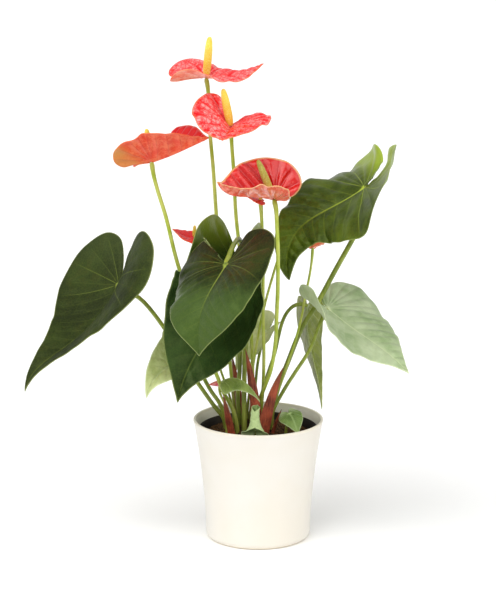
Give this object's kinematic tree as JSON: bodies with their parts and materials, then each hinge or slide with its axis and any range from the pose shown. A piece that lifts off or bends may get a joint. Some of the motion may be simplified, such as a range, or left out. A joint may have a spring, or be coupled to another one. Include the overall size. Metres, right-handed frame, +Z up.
{
  "type": "potted anthurium andraeanum (flamingo flower)",
  "caption": "Flowering house plant with heart-shaped leaves and red spathes on long stalks, in a black nursery pot inside a plain round cream cover pot.",
  "frame": {"origin": "centre of the cover pot's flat underside", "axes": "+Z up along the pot's axis, -Y towards the side that is seen in the picture, +X to that view's right"},
  "size_m": [0.4022, 0.2827, 0.538],
  "materials": {
    "pot_cream": "smooth cream, satin",
    "nursery_black": "black, thin moulded, satin",
    "soil": "dark brown peat crumbs, matt",
    "leaf_mature": "dark green, satin, with a pale yellow-green midrib, veins and margin",
    "leaf_young": "pale grey-green, satin, with sunken veins",
    "leaf_stalk": "olive green, satin",
    "flower_stalk": "light yellow-green, satin",
    "spathe_red": "bright red, waxy gloss, puckered between curved veins",
    "spathe_pale": "pinkish red with pale veins, waxy",
    "spadix": "yellow to orange, finely bumpy",
    "bud_pink": "pink, rolled up",
    "sheath": "red-brown, papery"
  },
  "bodies": {
    "root": {"bud": "bud_pink", "bud_stalk": "flower_stalk", "flower_behind_spadix": "spadix", "flower_behind_spathe": "spathe_red", "flower_behind_stalk": "flower_stalk", "flower_front_spadix": "spadix", "flower_front_spathe": "spathe_red", "flower_front_stalk": "flower_stalk", "flower_hidden_spadix": "spadix", "flower_hidden_spathe": "spathe_red", "flower_hidden_stalk": "flower_stalk", "flower_left_spadix": "spadix", "flower_left_spathe": "spathe_red", "flower_left_stalk": "flower_stalk", "flower_right_spadix": "spadix", "flower_right_spathe": "spathe_red", "flower_right_stalk": "flower_stalk", "flower_second_spadix": "spadix", "flower_second_spathe": "spathe_pale", "flower_second_stalk": "flower_stalk", "flower_top_spadix": "spadix", "flower_top_spathe": "spathe_pale", "flower_top_stalk": "flower_stalk", "leaf_behind_blade": "leaf_young", "leaf_behind_stalk": "leaf_stalk", "leaf_front_blade": "leaf_mature", "leaf_front_stalk": "leaf_stalk", "leaf_hanging_blade": "leaf_young", "leaf_hanging_stalk": "leaf_stalk", "leaf_left_blade": "leaf_mature", "leaf_left_stalk": "leaf_stalk", "leaf_lower_blade": "leaf_mature", "leaf_lower_left_blade": "leaf_young", "leaf_lower_left_stalk": "leaf_stalk", "leaf_lower_stalk": "leaf_stalk", "leaf_right_blade": "leaf_young", "leaf_right_stalk": "leaf_stalk", "leaf_upper_right_blade": "leaf_mature", "leaf_upper_right_stalk": "leaf_stalk", "leaf_young_arching_blade": "leaf_mature", "leaf_young_arching_stalk": "leaf_stalk", "leaf_young_front_blade": "leaf_young", "leaf_young_front_stalk": "leaf_stalk", "leaf_young_right_blade": "leaf_young", "leaf_young_right_stalk": "leaf_stalk", "lone_stalk": "flower_stalk", "nursery_pot": "nursery_black", "pot": "pot_cream", "sheath_back": "sheath", "sheath_left": "sheath", "sheath_right": "sheath", "sheath_small": "sheath", "sheath_tall": "sheath", "soil": "soil"}
  },
  "joints": []
}
